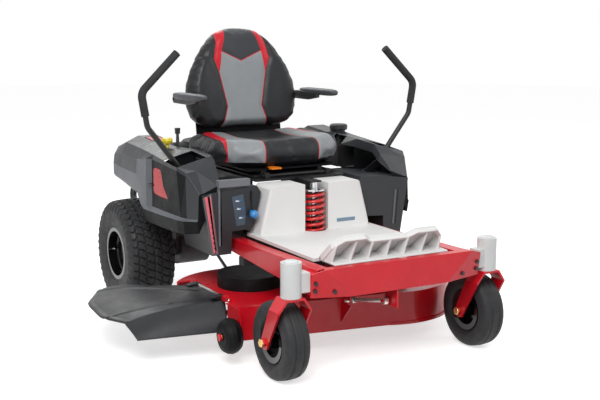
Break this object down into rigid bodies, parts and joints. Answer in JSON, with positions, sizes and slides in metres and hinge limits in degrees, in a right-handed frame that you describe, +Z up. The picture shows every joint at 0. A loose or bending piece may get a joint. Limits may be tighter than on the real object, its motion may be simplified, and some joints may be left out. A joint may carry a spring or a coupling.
{
  "type": "zero turn mower",
  "caption": "Ride-on zero turn mower with a sprung operator platform, high-back seat, swing-in drive levers, casters in front and a side-discharge deck",
  "frame": {"origin": "on the ground, under the centre of the bounding box", "axes": "+X to the operator's left, +Y to the rear of the machine, +Z up; the machine drives towards -Y"},
  "size_m": [1.4963, 1.8976, 1.18],
  "materials": {
    "frame_red": "satin powder coat",
    "black_steel": "satin black paint",
    "grey_casting": "silver grey paint",
    "zinc": "bright zinc",
    "engine_cast": "painted die casting",
    "engine_cover": "moulded",
    "muffler_steel": "heat tinted steel",
    "axle_case": "painted die casting",
    "rim_black": "gloss black paint",
    "tyre": "treaded rubber",
    "shell_grey": "textured moulding",
    "shell_black": "textured moulding",
    "shell_white": "textured moulding",
    "tank_plastic": "moulded polyethylene",
    "cap_black": "moulded",
    "spring_red": "gloss paint",
    "damper_steel": "chromed rod and black tube",
    "knob_blue": "moulded ball",
    "knob_orange": "moulded",
    "vinyl_black": "vinyl cover",
    "grip_foam": "foam",
    "belt_rubber": "rubber",
    "chute_rubber": "moulded rubber",
    "blade_steel": "forged steel"
  },
  "bodies": {
    "frame": {"frame_rail_right": "frame_red", "frame_rail_left": "frame_red", "front_panel": "frame_red", "cross_members": "black_steel", "caster_heads": "grey_casting", "frame_bolts": "zinc", "engine_block": "engine_cast", "engine_shroud": "engine_cover", "muffler": "muffler_steel", "transaxles": "axle_case", "rear_guard": "black_steel"},
    "crankshaft": {"fan_screen": "engine_cover", "crank_pulley": "blade_steel"},
    "platform": {"floor_pan": "shell_white", "footrest": "shell_white", "front_shroud": "shell_white", "platform_frame": "black_steel", "fender_right": "shell_black", "fender_left": "shell_black", "console_right": "shell_grey", "console_left": "shell_grey", "fuel_tank": "tank_plastic", "damper": "damper_steel", "front_spring": "spring_red"},
    "cap": {"fuel_cap": "cap_black"},
    "speed_control": {"speed_lever": "knob_blue"},
    "cut_height_control": {"cut_height_lever": "shell_grey"},
    "throttle_control": {"throttle_lever": "knob_orange"},
    "blade_switch": {"pto_knob": "knob_orange"},
    "seat_base": {"seat_pan": "black_steel"},
    "seat": {"seat_shell": "shell_black", "seat_cushion": "vinyl_black", "seat_backrest": "vinyl_black"},
    "slide_latch": {"seat_latch": "knob_orange"},
    "armrest_right": {"armrest_right": "shell_grey"},
    "armrest_left": {"armrest_left": "shell_grey"},
    "post_right": {"lever_base_right": "black_steel"},
    "post_left": {"lever_base_left": "black_steel"},
    "control_right": {"lever_tube_right": "black_steel", "lever_grip_right": "grip_foam"},
    "control_left": {"lever_tube_left": "black_steel", "lever_grip_left": "grip_foam"},
    "fork_right": {"caster_fork_right": "frame_red"},
    "fork_left": {"caster_fork_left": "frame_red"},
    "caster_right": {"caster_rim_right": "rim_black", "caster_tyre_right": "tyre"},
    "caster_left": {"caster_rim_left": "rim_black", "caster_tyre_left": "tyre"},
    "wheel_right": {"rear_rim_right": "rim_black", "rear_tyre_right": "tyre"},
    "wheel_left": {"rear_rim_left": "rim_black", "rear_tyre_left": "tyre"},
    "deck": {"deck_shell": "frame_red", "belt_covers": "shell_black", "deck_belt": "belt_rubber"},
    "cutter_right": {"blade_right": "blade_steel"},
    "cutter_left": {"blade_left": "blade_steel"},
    "chute": {"deflector": "chute_rubber"},
    "roller": {"deck_roller": "shell_black"},
    "deck_steady": {"deck_link": "zinc"}
  },
  "joints": [
    {"name": "engine_turn", "type": "hinge", "parent": "frame", "child": "crankshaft", "pos_m": [0.11225, 0.59485, 0.4], "axis": [0, 0, 1], "continuous": true},
    {"name": "platform_ride", "type": "slide", "parent": "frame", "child": "platform", "axis": [0, 0, 1], "range_m": [-0.025, 0.012], "stiffness_N_per_m": 30000, "springref_m": 0.03722, "deforming": ["front_spring"]},
    {"name": "fuel_cap_turn", "type": "hinge", "parent": "platform", "child": "cap", "pos_m": [0.55225, 0.22785, 0.725], "axis": [0, 0, 1], "continuous": true},
    {"name": "speed_slide", "type": "slide", "parent": "platform", "child": "speed_control", "axis": [0, 0, 1], "range_m": [0, 0.07]},
    {"name": "cut_height_turn", "type": "hinge", "parent": "platform", "child": "cut_height_control", "pos_m": [-0.28275, -0.26115, 0.372], "axis": [-1, 0, 0], "range_deg": [-19.5, 15.5]},
    {"name": "throttle_turn", "type": "hinge", "parent": "platform", "child": "throttle_control", "pos_m": [-0.27275, 0.12785, 0.686], "axis": [1, 0, 0], "range_deg": [-20, 20]},
    {"name": "blade_switch_pull", "type": "slide", "parent": "platform", "child": "blade_switch", "axis": [0, 0, 1], "range_m": [0, 0.012]},
    {"name": "seat_tip", "type": "hinge", "parent": "platform", "child": "seat_base", "pos_m": [0.11225, -0.17715, 0.603], "axis": [-1, 0, 0], "range_deg": [-60, 0]},
    {"name": "seat_slide", "type": "slide", "parent": "seat_base", "child": "seat", "axis": [0, -1, 0], "range_m": [-0.06, 0.06]},
    {"name": "seat_latch_turn", "type": "hinge", "parent": "seat", "child": "slide_latch", "pos_m": [0.02225, -0.11715, 0.629], "axis": [0, 0, 1], "range_deg": [0, 14]},
    {"name": "armrest_right_lift", "type": "hinge", "parent": "seat", "child": "armrest_right", "pos_m": [-0.19975, 0.37585, 0.873], "axis": [-1, 0, 0], "range_deg": [0, 95]},
    {"name": "armrest_left_lift", "type": "hinge", "parent": "seat", "child": "armrest_left", "pos_m": [0.42425, 0.37585, 0.873], "axis": [-1, 0, 0], "range_deg": [0, 95]},
    {"name": "drive_right", "type": "hinge", "parent": "platform", "child": "post_right", "pos_m": [-0.25675, -0.10415, 0.47], "axis": [1, 0, 0], "range_deg": [-10, 15], "stiffness_Nm_per_rad": 60},
    {"name": "drive_left", "type": "hinge", "parent": "platform", "child": "post_left", "pos_m": [0.48125, -0.10415, 0.47], "axis": [1, 0, 0], "range_deg": [-10, 15], "stiffness_Nm_per_rad": 60},
    {"name": "lever_right_swing", "type": "hinge", "parent": "post_right", "child": "control_right", "pos_m": [-0.25675, -0.10415, 0.568], "axis": [0, 1, 0], "range_deg": [0, 30]},
    {"name": "lever_left_swing", "type": "hinge", "parent": "post_left", "child": "control_left", "pos_m": [0.48125, -0.10415, 0.568], "axis": [0, -1, 0], "range_deg": [0, 30]},
    {"name": "caster_right_swivel", "type": "hinge", "parent": "frame", "child": "fork_right", "pos_m": [-0.29975, -0.87615, 0.36], "axis": [0, 0, 1], "continuous": true},
    {"name": "caster_left_swivel", "type": "hinge", "parent": "frame", "child": "fork_left", "pos_m": [0.52425, -0.87615, 0.36], "axis": [0, 0, 1], "continuous": true},
    {"name": "caster_right_spin", "type": "hinge", "parent": "fork_right", "child": "caster_right", "pos_m": [-0.29975, -0.80515, 0.1397], "axis": [1, 0, 0], "continuous": true},
    {"name": "caster_left_spin", "type": "hinge", "parent": "fork_left", "child": "caster_left", "pos_m": [0.52425, -0.80515, 0.1397], "axis": [1, 0, 0], "continuous": true},
    {"name": "wheel_right_spin", "type": "hinge", "parent": "frame", "child": "wheel_right", "pos_m": [-0.37075, 0.37785, 0.2286], "axis": [1, 0, 0], "continuous": true},
    {"name": "wheel_left_spin", "type": "hinge", "parent": "frame", "child": "wheel_left", "pos_m": [0.59525, 0.37785, 0.2286], "axis": [1, 0, 0], "continuous": true},
    {"name": "deck_lift", "type": "slide", "parent": "frame", "child": "deck", "axis": [0, 0, 1], "range_m": [-0.038, 0.03], "deforming": ["deck_belt"]},
    {"name": "blade_right_spin", "type": "hinge", "parent": "deck", "child": "cutter_right", "pos_m": [-0.15275, -0.27515, 0.1], "axis": [0, 0, 1], "continuous": true},
    {"name": "blade_left_spin", "type": "hinge", "parent": "deck", "child": "cutter_left", "pos_m": [0.36225, -0.38515, 0.1], "axis": [0, 0, 1], "continuous": true},
    {"name": "chute_lift", "type": "hinge", "parent": "deck", "child": "chute", "pos_m": [-0.34275, -0.22215, 0.21], "axis": [0, 1, 0], "range_deg": [0, 55]},
    {"name": "roller_spin", "type": "hinge", "parent": "deck", "child": "roller", "pos_m": [-0.39275, -0.59415, 0.111], "axis": [1, 0, 0], "continuous": true},
    {"name": "deck_steady_turn", "type": "hinge", "parent": "frame", "child": "deck_steady", "pos_m": [0.08225, -0.86715, 0.243], "axis": [1, 0, 0], "range_deg": [-10.6, 8.4]}
  ],
  "couplings": [
    {"joint": "cut_height_turn", "follows": "deck_lift", "rad_per_m": 8.7},
    {"joint": "deck_steady_turn", "follows": "deck_lift", "rad_per_m": 4.76},
    {"joint": "blade_right_spin", "follows": "engine_turn", "ratio": 1},
    {"joint": "blade_left_spin", "follows": "engine_turn", "ratio": 1}
  ]
}
